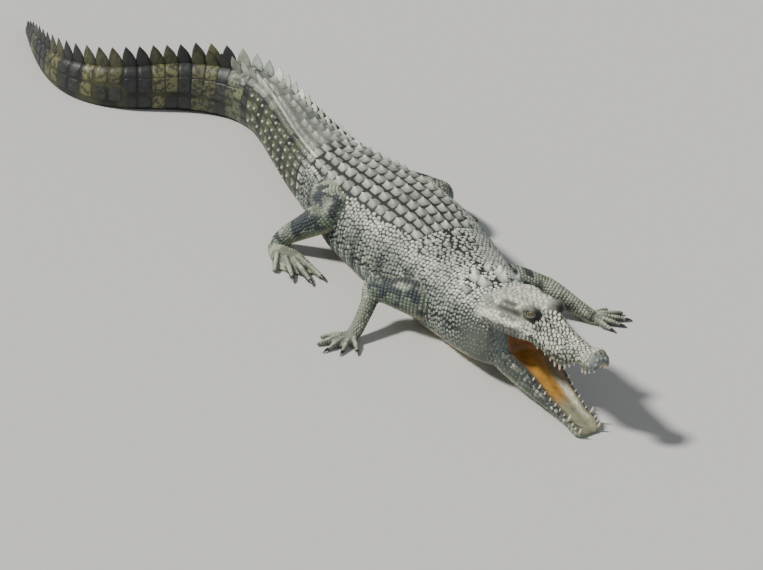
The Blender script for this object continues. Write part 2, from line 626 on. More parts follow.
def web_grid(name, one, other, reach):
    """The skin between two toes, up to a share of their length."""
    flat = np.array([1, 1, 0])
    r0, r1 = one[0], other[0]
    a, b = r0 + (one[2] - r0) * reach, r1 + (other[2] - r1) * reach
    bay = (a * 0.5 + b * 0.5) * flat * 0.88 + (r0 + r1) * 0.5 * flat * 0.12
    ring = np.array([r0 * flat, a * flat, bay, b * flat, r1 * flat])
    ring = np.array([ring[k] * (1 - t) + ring[k + 1] * t for k in range(4) for t in (0, 0.5)] + [ring[4]])
    middle = ring.mean(0)
    levels = ((0.6, 0.1), (0.6, 0.97), (4.6, 0.97), (4.9, 0.1))
    rows = [middle + (ring - middle) * k + [0, 0, z] for z, k in levels]
    add_sheet("web", np.array(rows), np.linspace(0, 1, 4), name)


TOES = {}
for leg_name, leg in LEGS.items():
    limb_grid("upper_leg", leg["upper"], leg_name)
    limb_grid("lower_leg", leg["lower"], leg_name)
    TOES[leg_name] = foot_grids(leg_name, leg)
    for one, other in zip(TOES[leg_name], TOES[leg_name][1:]):
        web_grid(leg_name, one, other, 0.75 if "hind" in leg_name else 0.22)


# eyes
def ball(centre, radius, rows=24, cols=32):
    a, b = np.meshgrid(np.linspace(0.02, np.pi - 0.02, rows), np.arange(cols) * 2 * np.pi / cols,
                       indexing="ij")
    return centre + radius * np.stack([np.sin(a) * np.cos(b), np.sin(a) * np.sin(b), np.cos(a)], -1)


EYES = [jaw_point(UPPER_AXES, EYE_AT[0], side * EYE_AT[1], EYE_AT[2]) for side in (1, -1)]
GAZES = [unit(UPPER_AXES[0] * 0.25 + UPPER_AXES[1] * side * 0.88 + UPPER_AXES[2] * 0.38) for side in (1, -1)]
LID_WIDTH, LID_HEIGHT = 9.4, 5.4    # half the opening between the lids
for centre in EYES:
    add_sheet("lid", ball(centre, EYE_RADIUS + 1.6), np.linspace(0, 1, 24))


def eye_axes(gaze):
    """The ways ahead and up on the face of an eyeball."""
    fore = unit(UPPER_AXES[0] - gaze * np.dot(UPPER_AXES[0], gaze))
    rise = np.cross(gaze, fore)
    return fore, rise * (1 if np.dot(rise, UPPER_AXES[2]) > 0 else -1)


# ---------------------------------------------------------------- meshes
def new_mesh(name, points, faces):
    """A mesh from points in metres and lists of faces."""
    me = bpy.data.meshes.new(name)
    me.vertices.add(len(points))
    me.vertices.foreach_set("co", np.asarray(points, np.float32).ravel())
    sizes = np.concatenate([np.full(len(f), f.shape[1]) for f in faces])
    loops = np.concatenate([f.ravel() for f in faces])
    me.loops.add(len(loops))
    me.loops.foreach_set("vertex_index", loops.astype(np.int32))
    me.polygons.add(len(sizes))
    me.polygons.foreach_set("loop_start", np.concatenate([[0], np.cumsum(sizes)[:-1]]).astype(np.int32))
    me.update(calc_edges=True)
    return me


def to_world(p):
    return (p - SHIFT) / 1000.0


def add_object(name, data):
    o = bpy.data.objects.new(name, data)
    bpy.context.scene.collection.objects.link(o)
    return o


def read_vertices(me, what):
    values = np.zeros(len(me.vertices) * 3, np.float32)
    me.vertices.foreach_get(what, values)
    return values.reshape(-1, 3).astype(float)


def mesh_points(me):
    return read_vertices(me, "co") * 1000.0 + SHIFT


def mesh_edges(me):
    ends = np.zeros(len(me.edges) * 2, np.int32)
    me.edges.foreach_get("vertices", ends)
    return ends.reshape(-1, 2)


def set_colour(me, rgb):
    rgba = np.ones((len(me.vertices), 4), np.float32)
    rgba[:, :3] = np.clip(rgb, 0, 1)
    layer = me.color_attributes.new(name="Col", type="FLOAT_COLOR", domain="POINT")
    layer.data.foreach_set("color", rgba.ravel())


def set_wetness(me, values):
    me.attributes.new("wet", "FLOAT", "POINT").data.foreach_set("value", np.asarray(values, np.float32))


def smooth_shade(me):
    me.polygons.foreach_set("use_smooth", np.ones(len(me.polygons), bool))


def evaluated(o):
    return bpy.data.meshes.new_from_object(o.evaluated_get(bpy.context.evaluated_depsgraph_get()))


def joined(parts):
    """Several parts (points, faces, more faces) as one."""
    points, faces, start = [], [], 0
    for v, *kinds in parts:
        points.append(v)
        faces.append([f + start for f in kinds])
        start += len(v)
    return np.concatenate(points), [np.concatenate(kind) for kind in zip(*faces)]


def neighbours(field, edges):
    """The mean of a field over the points that each point is joined to."""
    if field.ndim == 2:
        return np.stack([neighbours(column, edges) for column in field.T], -1)
    total = sum(np.bincount(edges[:, k], field[edges[:, 1 - k]], len(field)) for k in (0, 1))
    return total / np.maximum(np.bincount(edges.ravel(), minlength=len(field)), 1)


# ---------------------------------------------------------------- one skin
VOXEL = 0.0023
SKIN_TRIANGLES = 190000
FAMILIES = dict(upper_leg=1, lower_leg=2, palm=3, digit=3, web=3, head=4, jaw=5, cheek=6)
verts, faces = joined([sheet.mesh() for sheet in SHEETS])
source = add_object("source", new_mesh("source", to_world(verts), faces))
remesh = source.modifiers.new("remesh", "REMESH")
remesh.mode = "VOXEL"
remesh.voxel_size = VOXEL
skin_mesh = evaluated(source)
bpy.data.objects.remove(source)

# which sheet, row and column each point of the skin came from
SHOWN = [s for s in SHEETS if s.kind != "lid"]
tree_sheet = np.concatenate([np.full(s.rows * s.cols, s.id) for s in SHOWN])
tree_row = np.concatenate([np.repeat(np.arange(s.rows), s.cols) for s in SHOWN])
tree_col = np.concatenate([np.tile(np.arange(s.cols), s.rows) for s in SHOWN])
tree = KDTree(len(tree_sheet))
for k, q in enumerate(np.concatenate([s.p.reshape(-1, 3) for s in SHOWN])):
    tree.insert(q, k)
tree.balance()


def sources(points):
    found = np.fromiter((tree.find(q)[1] for q in points), int, len(points))
    return tree_sheet[found], tree_row[found], tree_col[found]


def rub_smooth(p, edges):
    """Smooths the joins between parts, and takes the grid's steps off everywhere."""
    family = np.array([FAMILIES.get(s.kind, 0) for s in SHEETS])[sources(p)[0]]
    seam = np.zeros(len(p))
    seam[edges[family[edges[:, 0]] != family[edges[:, 1]]].ravel()] = 1.0
    for _ in range(14):
        seam = np.maximum(seam, neighbours(seam, edges) * 1.02)
    seam = np.clip(seam * 1.5, 0, 1)
    on_floor = p[:, 2] < 0.8
    for k in range(16):
        weight = np.clip(seam * 0.75 + (0.45 if k < 2 else 0.0), 0, 0.8)
        weight[on_floor] = 0
        p = p + (neighbours(p, edges) - p) * weight[:, None]
    return p


def open_lids(p):
    """Lays the skin over each eyeball but for an almond opening."""
    for centre, gaze in zip(EYES, GAZES):
        fore, rise = eye_axes(gaze)
        d = p - centre
        r = np.linalg.norm(d, axis=1)
        opening = ((d @ fore / LID_WIDTH) ** 2 + (d @ rise / LID_HEIGHT) ** 2 < 1) & (d @ gaze > 0)
        near = r < EYE_RADIUS * 1.35
        target = np.where(opening, EYE_RADIUS - 2.4, np.maximum(r, EYE_RADIUS + 1.1))
        p[near] = centre + unit(d[near]) * target[near][:, None]
    return p


p = open_lids(rub_smooth(mesh_points(skin_mesh), mesh_edges(skin_mesh)))
p[:, 2] = np.maximum(p[:, 2], 0)
skin_mesh.vertices.foreach_set("co", to_world(p).astype(np.float32).ravel())
skin_mesh.update()

# fewer triangles, most of them kept on the head and feet
skin = add_object("skin", skin_mesh)
detailed = np.isin(sources(p)[0], [s.id for s in SHEETS if s.kind in ("head", "jaw", "digit", "palm")])
fine = skin.vertex_groups.new(name="fine")
fine.add(np.flatnonzero(~detailed).tolist(), 1.0, "REPLACE")
fine.add(np.flatnonzero(detailed).tolist(), 0.25, "REPLACE")
cut = skin.modifiers.new("decimate", "DECIMATE")
cut.ratio = min(1.0, SKIN_TRIANGLES / (2 * len(skin_mesh.polygons)))
cut.vertex_group = "fine"
thinned = evaluated(skin)
skin.modifiers.clear()
skin.vertex_groups.clear()
skin.data = thinned
skin.data.name = "skin"
smooth_shade(skin.data)

# ---------------------------------------------------------------- markings
PALE, GREY = srgb(232, 236, 222), srgb(112, 126, 116)
BLUE_BLACK, OLIVE = srgb(34, 44, 56), srgb(88, 98, 78)
CREAM, BLACK = srgb(206, 200, 170), srgb(28, 31, 35)
MOUTH, DEEP_MOUTH, GUM = srgb(186, 138, 62), srgb(138, 88, 40), srgb(150, 150, 124)
UPPER_BLACK = [(1108, 20), (1192, 24), (1295, 26), (1422, 32), (1545, 38), (1665, 46)]
LOWER_BLACK = [(1120, 18), (1198, 30), (1285, 24), (1342, 18), (1430, 22), (1545, 30), (1660, 40)]


def bars(s, table, soft=5.0):
    return np.clip(sum(1 - step(w - soft, w + soft, np.abs(s - m)) for m, w in table), 0, 1)


def paint_body(s, angle, p):
    """Colour of the scales, colour of the skin between them and wetness."""
    off = from_top(angle)
    back, belly = 1 - step(48, 64, off), step(122, 142, off)
    low = step(92, 116, off) * (1 - belly)
    broad, grain = noise(p, 34, 51, 2), noise(p, 8, 52)
    scale = mix(mix(GREY * 0.72, PALE * 0.78, grain * 0.6), mix(GREY, PALE, 0.4 + 0.6 * broad), back)
    scale = mix(scale, mix(OLIVE, GREY, grain), low * 0.75)
    scale = mix(scale, CREAM, belly)
    skin_rgb = mix(srgb(26, 34, 36), srgb(46, 50, 46), back * 0.8)
    skin_rgb = mix(skin_rgb, srgb(70, 76, 62), low)
    skin_rgb = mix(skin_rgb, CREAM * 0.85, belly)
    wave = np.sin(2 * np.pi * (s + 30 * (noise(p, 70, 61) - 0.5)) / 98.0) + 1.6 * (noise(p, 26, 62, 2) - 0.5)
    trunk = band(130, 240, 650, 720, s)
    blot = step(0.35, 0.95, wave) * trunk * (1 - belly) * (0.22 + 0.60 * step(50, 80, off))
    scale = mix(scale, srgb(62, 67, 68), blot)
    stripes = np.sin(2 * np.pi * s / 27.0 + 2 * noise(p, 50, 65)) * band(330, 400, 540, 600, s)
    scale = mix(scale, srgb(50, 56, 60), 0.8 * step(0.0, 0.6, stripes) * step(74, 92, off) * (1 - belly))
    nape = bell(s, 86, 46) * (1 - step(24, 40, off))
    scale = mix(scale, srgb(244, 246, 236), nape)
    front = band(30, 110, 300, 390, s) * (1 - nape)
    scale = mix(scale, srgb(122, 132, 138), 0.35 * front * step(0.45, 0.75, noise(p, 40, 63, 2)))
    jowl = (1 - step(10, 70, s)) * step(60, 84, off)
    jowl_rgb = mix(srgb(62, 72, 76), srgb(120, 128, 112), noise(p, 11, 64, 2))
    scale = mix(scale, jowl_rgb * 1.25, jowl * 0.85)
    skin_rgb = mix(skin_rgb, jowl_rgb * 0.8, jowl * 0.85)
    tail = step(655, 730, s)
    side = step(26, 44, off) * tail
    near = mix(srgb(62, 70, 56), srgb(114, 119, 90), grain)
    far = mix(srgb(80, 82, 54), srgb(122, 121, 80), grain)
    tail_rgb = mix(near, far, step(1050, 1150, s))
    tail_rgb = mix(mix(GREY, PALE, broad), tail_rgb, np.maximum(step(26, 44, off), step(1040, 1130, s)))
    phase = 2 * np.pi * (s - 690 + 14 * (noise(p, 60, 71) - 0.5)) / 84.0
    wave = np.sin(phase + np.pi / 2) + 0.9 * (noise(p, 22, 72) - 0.5)
    near_bars = step(0.15, 0.5, wave) * (1 - step(1050, 1070, s)) * (0.35 + 0.6 * side)
    far_bars = np.where(off < 84, bars(s, UPPER_BLACK), bars(s, LOWER_BLACK)) * step(1060, 1075, s)
    black = np.clip(near_bars + far_bars, 0, 1) * (1 - step(140, 165, off) * 0.6)
    tail_rgb = mix(tail_rgb, mix(BLACK, srgb(48, 52, 54), grain), black * 0.93)
    tail_rgb = mix(tail_rgb, BLACK, step(1480, 1560, s) * 0.55 * step(0.35, 0.6, broad))
    scale = mix(scale, tail_rgb, tail)
    skin_rgb = mix(skin_rgb, tail_rgb * 0.42, tail)
    inside = 1 - step(-41, -37, s)
    skin_rgb = mix(skin_rgb, DEEP_MOUTH, inside)
    return scale, skin_rgb, inside


def eye_shade(p):
    """The dark patch round and below each eye; the brow above it stays pale."""
    dark = np.zeros(len(p))
    for centre, gaze in zip(EYES, GAZES):
        q = p - centre
        reach = np.hypot((q @ UPPER_AXES[0] - 2) / 23, (q @ UPPER_AXES[2] + 2) / 11.5)
        reach += 0.5 * (noise(p, 6, 84) - 0.5)
        dark = np.maximum(dark, (1 - step(0.75, 1.1, reach)) * step(-8, 0, q @ gaze))
    return dark


SLIT_SHADES = [(1, 0.2), (1, 0.2), (0.8, 0.16)]     # darkness and spread of the first three folds of the head


def paint_head(u, t, p):
    """t is the corner of the ring, 0 at the middle of the top and 6 at the middle of the palate."""
    broad, grain = noise(p, 24, 81, 2), noise(p, 7, 82)
    scale = mix(srgb(156, 162, 146), srgb(232, 233, 216), grain * 0.5 + broad * 0.5)
    scale = mix(scale, srgb(100, 108, 92), 0.6 * step(0.54, 0.74, broad))
    scale = mix(scale, srgb(234, 235, 218), 0.6 * (1 - step(0.8, 1.4, t)))
    lip = band(2.75, 3.3, 4.35, 4.5, t)
    front_lip = lip * (1 - step(0.55, 0.66, u))
    scale = mix(scale, mix(srgb(80, 88, 76), srgb(120, 124, 104), grain), front_lip * 0.85)
    cheek = band(2.62, 2.95, 4.35, 4.5, t) * step(0.58, 0.68, u)
    scale = mix(scale, mix(srgb(46, 50, 46), srgb(84, 90, 82), grain), cheek * 0.9)
    scale = mix(scale, srgb(234, 234, 220), 0.7 * bell(t, 2.35, 0.3) * step(0.64, 0.72, u))
    scale = mix(scale, srgb(104, 116, 122), 0.7 * (1 - step(0.035, 0.075, u)))
    scale = mix(scale, srgb(46, 43, 38), 0.92 * eye_shade(p) * step(0.7, 1.1, t))
    scale = mix(scale, srgb(52, 50, 45), 0.75 * bell(u, 0.535, 0.028) * bell(t, 1.75, 0.3))
    slits = sum(share * bell(t, corner, spread) * band(*run, u)
                for (share, spread), (_, corner, _, *run) in zip(SLIT_SHADES, HEAD_FOLDS))
    scale = mix(scale, srgb(40, 38, 34), 0.9 * np.clip(slits, 0, 1))
    knobbly = band(0.08, 0.18, 0.58, 0.70, u)
    skin_rgb = mix(scale * 0.6, srgb(30, 34, 30), 0.9 * knobbly)
    along, across = (u - NOSTRIL_AT[0]) * HEAD_LENGTH, np.abs((p - hinge) @ UPPER_AXES[1])
    nostril = (1 - step(1.0, 2.0, np.hypot(along / 2.0, (across - 5.3) / 1.5))) * (1 - step(1.5, 2.2, t))
    skin_rgb = mix(skin_rgb, srgb(20, 18, 16), nostril)
    mouth = step(4.35, 4.7, t)
    lining = mix(MOUTH, DEEP_MOUTH, step(0.45, 0.95, u))
    lining = mix(lining, srgb(178, 164, 130), (1 - step(0.20, 0.42, u)) * 0.85)
    lining = mix(lining, lining * 0.8, noise(p, 12, 83, 2) * 0.6)
    skin_rgb = mix(skin_rgb, lining, mouth)
    return scale, skin_rgb, mouth


def paint_jaw(u, t, p):
    """t is 0 at the middle of the mouth floor, 2 inside the rim and 6 at the middle of the chin."""
    broad, grain = noise(p, 20, 91, 2), noise(p, 6, 92)
    side = mix(srgb(26, 36, 42), srgb(62, 74, 72), broad)
    side = mix(side, srgb(92, 100, 86), step(3.4, 3.9, t) * 0.8)
    labials = step(-0.1, 0.5, np.sin(2 * np.pi * u * HEAD_LENGTH / 10.5)) * band(0.12, 0.2, 0.7, 0.8, u)
    spots = step(0.6, 0.85, grain) * 0.3 + 0.85 * labials * bell(t, 3.3, 0.22)
    side = mix(side, srgb(176, 180, 162), np.clip(spots, 0, 1))
    under = mix(srgb(140, 147, 126), srgb(178, 180, 156), broad)
    scale = mix(side, under, step(4.0, 4.7, t))
    scale = mix(scale, srgb(150, 166, 144), 0.8 * (1 - step(0.08, 0.17, u)))
    jowl = 0.7 * step(0.72, 0.9, u) * (1 - step(4.4, 5.0, t))
    scale = mix(scale, mix(srgb(66, 76, 84), srgb(104, 112, 104), broad), jowl)
    mouth = 1 - step(2.05, 2.4, t)
    floor = mix(GUM, MOUTH, step(0.26, 0.42, u))
    floor = mix(floor, DEEP_MOUTH, step(0.55, 1.0, u))
    wall = mix(GUM, srgb(176, 150, 96), step(0.55, 0.9, u))
    lining = mix(floor, wall, step(0.75, 1.25, t))
    lining = mix(lining, srgb(176, 140, 128), 0.45 * bell(t, 1.9, 0.25) * step(0.2, 0.35, u))
    lining = mix(lining, lining * 0.72, noise(p, 14, 93, 2) * 0.7)
    return scale, mix(scale * 0.72, lining, mouth), mouth


def paint_leg(p, upward):
    """upward is how far the surface looks up, from -1 to 1."""
    broad, grain, patches = noise(p, 16, 101, 2), noise(p, 5, 102), noise(p, 30, 103, 2)
    rgb = mix(srgb(84, 98, 88), srgb(134, 144, 126), grain)
    rgb = mix(rgb, srgb(190, 196, 176), 0.75 * step(0.1, 0.7, upward) * step(0.3, 0.5, patches))
    rgb = mix(rgb, BLUE_BLACK, 0.88 * step(0.49, 0.57, broad) * (1 - step(0.2, 0.7, -upward)))
    rgb = mix(rgb, srgb(176, 178, 146), 0.8 * step(0.25, 0.8, -upward))
    return rgb


def cheek_corner(column):
    """The corner of a cheek's ring: 0 outside in front, 1 outside behind, 2 and 3 inside."""
    return np.asarray(column, float) / CHEEK_CORNER % 4


PALENESS, FORE_PALENESS = dict(digit=0.6, palm=0.4, web=0.4), 0.45


def paint(sheet, i, j, p, upward):
    """Colour of the scales, of the skin between them and wetness, at rows i and columns j of a sheet."""
    s, angle = sheet.station(i), np.asarray(j, float) * 360.0 / sheet.cols
    if sheet.kind == "body":
        return paint_body(s, angle, p)
    if sheet.kind in ("head", "jaw"):
        return (paint_head if sheet.kind == "head" else paint_jaw)(s, folded(j), p)
    if sheet.kind == "cheek":
        broad = noise(p, 14, 97, 2)
        side = mix(srgb(44, 54, 62), srgb(92, 101, 92), broad)
        inner = band(1.6, 2.0, 3.55, 3.85, cheek_corner(j))
        return side, mix(side * 0.8, mix(MOUTH, DEEP_MOUTH, 0.4 + 0.3 * broad), inner), inner
    rgb = paint_leg(p, upward)
    pale = PALENESS.get(sheet.kind, 0)
    if sheet.kind == "lower_leg" and "fore" in sheet.leg:
        pale = FORE_PALENESS
    rgb = mix(rgb, srgb(184, 190, 164), pale * step(-0.2, 0.5, upward))
    return rgb, rgb * (0.9 if sheet.kind in ("palm", "web") else 0.62), 0 * s


p = mesh_points(skin.data)
normals = read_vertices(skin.data, "normal")
ids, rows, cols = sources(p)
colour, wet = np.zeros((len(p), 3)), np.zeros(len(p))
for sheet in SHOWN:
    pick = ids == sheet.id
    if pick.any():
        _, rgb, w = paint(sheet, rows[pick].astype(float), cols[pick], p[pick], normals[pick, 2])
        colour[pick], wet[pick] = rgb, w
edges = mesh_edges(skin.data)
for _ in range(2):
    colour = colour * 0.5 + neighbours(colour, edges) * 0.5
    wet = wet * 0.5 + neighbours(wet, edges) * 0.5
set_colour(skin.data, colour)
set_wetness(skin.data, wet)

# ---------------------------------------------------------------- scales
surface = BVHTree.FromPolygons([tuple(q) for q in p], [tuple(q.vertices) for q in skin.data.polygons])
PIECES = {}


def dome(rim, rings=((1.0, 0.0, 1.0), (0.74, 0.72, 0.35)), square=2.0):
    """A round scale: x along it, y across it, height, how near the edge, and faces."""
    radius, height, edge = (np.repeat(column, rim) for column in np.array(rings).T)
    a = np.tile(np.arange(rim) * 2 * np.pi / rim, len(rings))
    k = (np.abs(np.cos(a)) ** square + np.abs(np.sin(a)) ** square) ** (-1 / square)
    x, y = radius * k * np.cos(a), radius * k * np.sin(a)
    return np.append(x, 0), np.append(y, 0), np.append(height, 1.0), np.append(edge, 0), capped(len(rings), rim)


def plate(n, m, height, flat=0.55):
    """A four-sided scale from a grid; height(x, y) is from 0 to 1, and the colour darkens outside flat."""
    x, y = np.meshgrid(np.linspace(-1, 1, n), np.linspace(-1, 1, m), indexing="ij")
    inner = np.maximum(np.abs(x), np.abs(y)) < 0.999
    round_off = 1 - 0.12 * (x * y) ** 2
    z = np.where(inner, height(x, y), 0.0)
    e = np.where(inner, np.clip(np.maximum(np.abs(x), np.abs(y)) - flat, 0, 1) * 0.36 / (1 - flat), 1.0)
    k = np.arange(m - 1)
    base = (np.arange(n - 1) * m)[:, None]
    a, b, c, d = base + k, base + k + 1, base + m + k + 1, base + m + k
    tri = np.concatenate([np.stack([a, c, b], -1).reshape(-1, 3), np.stack([a, d, c], -1).reshape(-1, 3)])
    return (x * round_off).ravel(), (y * round_off).ravel(), z.ravel(), e.ravel(), tri


TUBERCLE = dome(9, ((1.0, 0.0, 1.0), (0.88, 0.60, 0.5), (0.58, 0.94, 0.1)))
SMALL = dome(6)
LEG_SCALE = dome(6, ((1.0, 0.0, 1.0), (0.80, 0.75, 0.3)), 2.4)
PANEL = plate(15, 17, lambda x, y: 0.3 + 0.7 * (1 - np.abs(x) ** 6) * (1 - np.abs(y) ** 6), 0.84)
FLAT = plate(7, 7, lambda x, y: 0.35 + 0.65 * (1 - np.abs(x) ** 3) * (1 - np.abs(y) ** 3) + 0.25 * x)


def keel_height(x, y):
    crest = band(-0.95, 0.45, 0.62, 1.0, x)
    body = 0.20 * (1 - np.abs(x) ** 4) * (1 - np.abs(y) ** 4)
    return body + crest * (0.46 * (1 - np.abs(y)) ** 1.2 + 0.34 * np.exp(-(y / 0.17) ** 2))


SCUTE = plate(13, 11, keel_height)


MARKS_FROM = 1030                   # scales behind this station have black marks
# how far a scale may be from the skin in all, sideways and upwards, in mm, and how nearly both face one way
SKIN_REACH, SIDEWAYS_REACH, UPWARD_REACH, LEAST_FACING = 7.0, 2.2, 4.5, 0.6
LOWEST_CENTRE, LOWEST_EDGE = 1.5, 0.2


def add_scales(piece, sheet, i, j, half_u, half_v, height, template,
               turn=0.0, sink=0.8, uneven=0.0, tint=None):
    """Scales draped over a sheet and set on the skin at rows i and columns j; sizes in mm."""
    given = [np.asarray(q, float) for q in (i, j, half_u, half_v, height, turn)]
    i, j, half_u, half_v, height, turn = np.broadcast_arrays(*given)
    if len(i) == 0:
        return
    centre, normal = sheet.sample(sheet.p, i, j), unit(sheet.sample(sheet.n, i, j))
    shift, good = np.zeros(len(i)), np.zeros(len(i), bool)
    for k in range(len(i)):
        where, face, _, _ = surface.find_nearest(Vector(centre[k]), SKIN_REACH)
        if where is not None:
            gap = np.array(where) - centre[k]
            shift[k] = gap @ normal[k]
            side = np.linalg.norm(gap - normal[k] * shift[k])
            good[k] = (side < SIDEWAYS_REACH and abs(shift[k]) < UPWARD_REACH
                       and np.dot(face, normal[k]) > LEAST_FACING)
    good &= centre[:, 2] > LOWEST_CENTRE
    if not good.any():
        return
    i, j, half_u, half_v, height, turn, shift = (q[good] for q in (i, j, half_u, half_v, height, turn, shift))
    centre, normal = centre[good], normal[good]
    flat_x, flat_y, rise, edge, tri = template
    row_gap, col_gap = sheet.sample(sheet.row_gap, i, j), sheet.sample(sheet.col_gap, i, j)
    wobble = 1 + uneven * (rng.random((len(i), len(flat_x))) - 0.5)
    x, y = flat_x[None] * wobble * half_u[:, None], flat_y[None] * wobble * half_v[:, None]
    cosine, sine = np.cos(turn)[:, None], np.sin(turn)[:, None]
    rows = i[:, None] + (x * cosine - y * sine) / row_gap[:, None]
    cols = j[:, None] + (x * sine + y * cosine) / col_gap[:, None]
    base, n = sheet.sample(sheet.p, rows, cols), unit(sheet.sample(sheet.n, rows, cols))
    v = base + n * (shift[:, None] + rise[None] * height[:, None] - sink * (edge[None] > 0.99))[..., None]
    v[..., 2] = np.maximum(v[..., 2], LOWEST_EDGE)
    rgb, between, _ = paint(sheet, i, j, centre, normal[:, 2])
    rgb = rgb * (0.84 + 0.30 * rng.random((len(i), 1)))
    if tint is not None:
        rgb = mix(rgb, tint, 0.85)
    shade = 0.30 if sheet.leg else 0.86 if piece.startswith("scales_flank") else 0.66
    shown = rgb[:, None, :] * (1.12 - shade + shade * rise[None] ** 1.2)[..., None]
    shown = mix(shown, between[:, None, :], np.broadcast_to(edge[None] * 0.85, v.shape[:2]))
    if sheet.kind == "body":
        marks = step(0.47, 0.58, noise(v, 5, 95, 2)) * (sheet.station(i) > MARKS_FROM)[:, None]
        shown = mix(shown, BLACK, marks * 0.8)
    one = v[0][tri]
    outward = np.cross(one[:, 1] - one[:, 0], one[:, 2] - one[:, 0]).sum(0) @ normal[0] > 0
    faces = (tri if outward else tri[:, ::-1])[None] + (np.arange(len(i)) * len(flat_x))[:, None, None]
    add_patches(piece, sheet, v, faces, shown, rows, cols, j)


# the share of a ring from its first column to the unwrap's cut
SEAM = dict(body=0.25, head=0.5, jaw=0.5)


def add_patches(piece, sheet, v, faces, c, rows, cols, j):
    """Keeps points, faces, colours and places on the sheet for one joined piece."""
    store = PIECES.setdefault(piece, dict(v=[], f=[], c=[], uv=[], start=0))
    cut = SEAM.get(sheet.kind, 0.25) * sheet.cols
    root = (j + cut) % sheet.cols
    across = root[:, None] + cols - j[:, None]
    store["v"].append(v.reshape(-1, 3))
    store["c"].append(c.reshape(-1, 3))
    store["uv"].append(np.stack([rows, across, np.full(rows.shape, sheet.id)], -1).reshape(-1, 3))
    store["f"].append(faces.reshape(-1, 3) + store["start"])
    store["start"] += v.shape[0] * v.shape[1]


def lattice(sheet, i0, i1, along, around, jitter=0.15):
    """Staggered centres on a sheet, spaced in mm."""
    rows_i, rows_j = [], []
    i, odd = float(i0), 0
    while i < i1:
        r = int(np.clip(round(i), 0, sheet.rows - 1))
        n = max(int(round(sheet.col_gap[r].sum() / around)), 4)
        j = (np.arange(n) + 0.5 * odd) * sheet.cols / n
        rows_i.append(np.full(n, i))
        rows_j.append(j)
        i += max(along / max(sheet.row_gap[r].mean(), 0.2), 0.15)
        odd = 1 - odd
    i, j = np.concatenate(rows_i), np.concatenate(rows_j)
    i = i + (rng.random(len(i)) - 0.5) * jitter * along / np.mean(sheet.row_gap)
    j = j + (rng.random(len(j)) - 0.5) * jitter * around / np.mean(sheet.col_gap)
    return i, j


# back scutes
ROW_SPACING, SHIELD_START = 29.0, 292.0
SHIELD_COLUMNS = (13, 39, 65)       # mm from the middle of the back, on both sides
SCUTE_HALF_LENGTH, SCUTE_HALF_WIDTH, SCUTE_HEIGHTS = 12.9, 12.3, (8.2, 9.6)


def shield_taper(s):
    """The shield is a fifth narrower at its front rows."""
    return 0.80 + 0.20 * step(0, 110, s - SHIELD_START)


for s in np.arange(SHIELD_START, VENT - 12, ROW_SPACING):
    squeeze = min(1.0, first_value(outline_at, s) / 100) * shield_taper(s)
    for x in SHIELD_COLUMNS:
        for side in (1, -1):
            i, j = body_index(s + rng.normal(0, 0.8), back_angle(s, side * x * squeeze))
            add_scales("scutes_back", BODY, [i], [j], SCUTE_HALF_LENGTH, SCUTE_HALF_WIDTH * squeeze,
                       rng.uniform(*SCUTE_HEIGHTS), SCUTE, sink=1.0)

# plates of the nape, then loose ones before the shield, then small ones behind the skull:
# station, angle, half length, half width and height of each
NUCHAL = [(62, 78, 15, 12.5, 16), (62, 102, 15, 12.5, 16), (90, 76, 13.5, 12.5, 16),
          (90, 104, 13.5, 12.5, 16), (72, 54, 11.5, 8.5, 13), (72, 126, 11.5, 8.5, 13),
          (113, 84, 9.5, 8, 10), (113, 98, 9.5, 8, 10),
          (262, 84, 10, 9, 6), (258, 112, 9, 8, 6), (236, 74, 8, 7, 6), (232, 98, 9, 8, 6),
          (240, 122, 8, 7, 5), (204, 88, 8, 7, 5), (212, 110, 7, 6, 5),
          (16, 66, 7, 6, 6), (14, 82, 7, 6, 6), (14, 98, 7, 6, 6), (16, 114, 7, 6, 6)]
for s, a, half_u, half_v, high in NUCHAL:
    i, j = body_index(s, a)
    add_scales("scutes_back", BODY, [i], [j], half_u, half_v, high, SCUTE, sink=1.0)


def off_nape(s, angle):
    """True away from the plates of the nape."""
    clear = np.ones(len(s), bool)
    girth = 2 * np.pi * outline_at(s)[0] / 360
    for s0, a0, half_u, half_v, _ in NUCHAL:
        clear &= np.hypot((s - s0) / (half_u + 2.5), (angle - a0) * girth / (half_v + 2.5)) > 1
    return clear


# tail rings
CREST_JOINS, PANELS_FROM = 1180, 1040
fin_height = smooth_table([[660, 8], [800, 12], [950, 20], [1120, 35], [1250, 43], [1420, 39], [1560, 27],
                           [1700, 10]])
crest_angle = smooth_table([[660, 34], [900, 24], [1080, 14], [CREST_JOINS, 5]])
ring_s = []
s = 674.0
while s < BODY_LENGTH - 14:
    ring_s.append(s)
    s += 29 if s < CREST_JOINS else 27


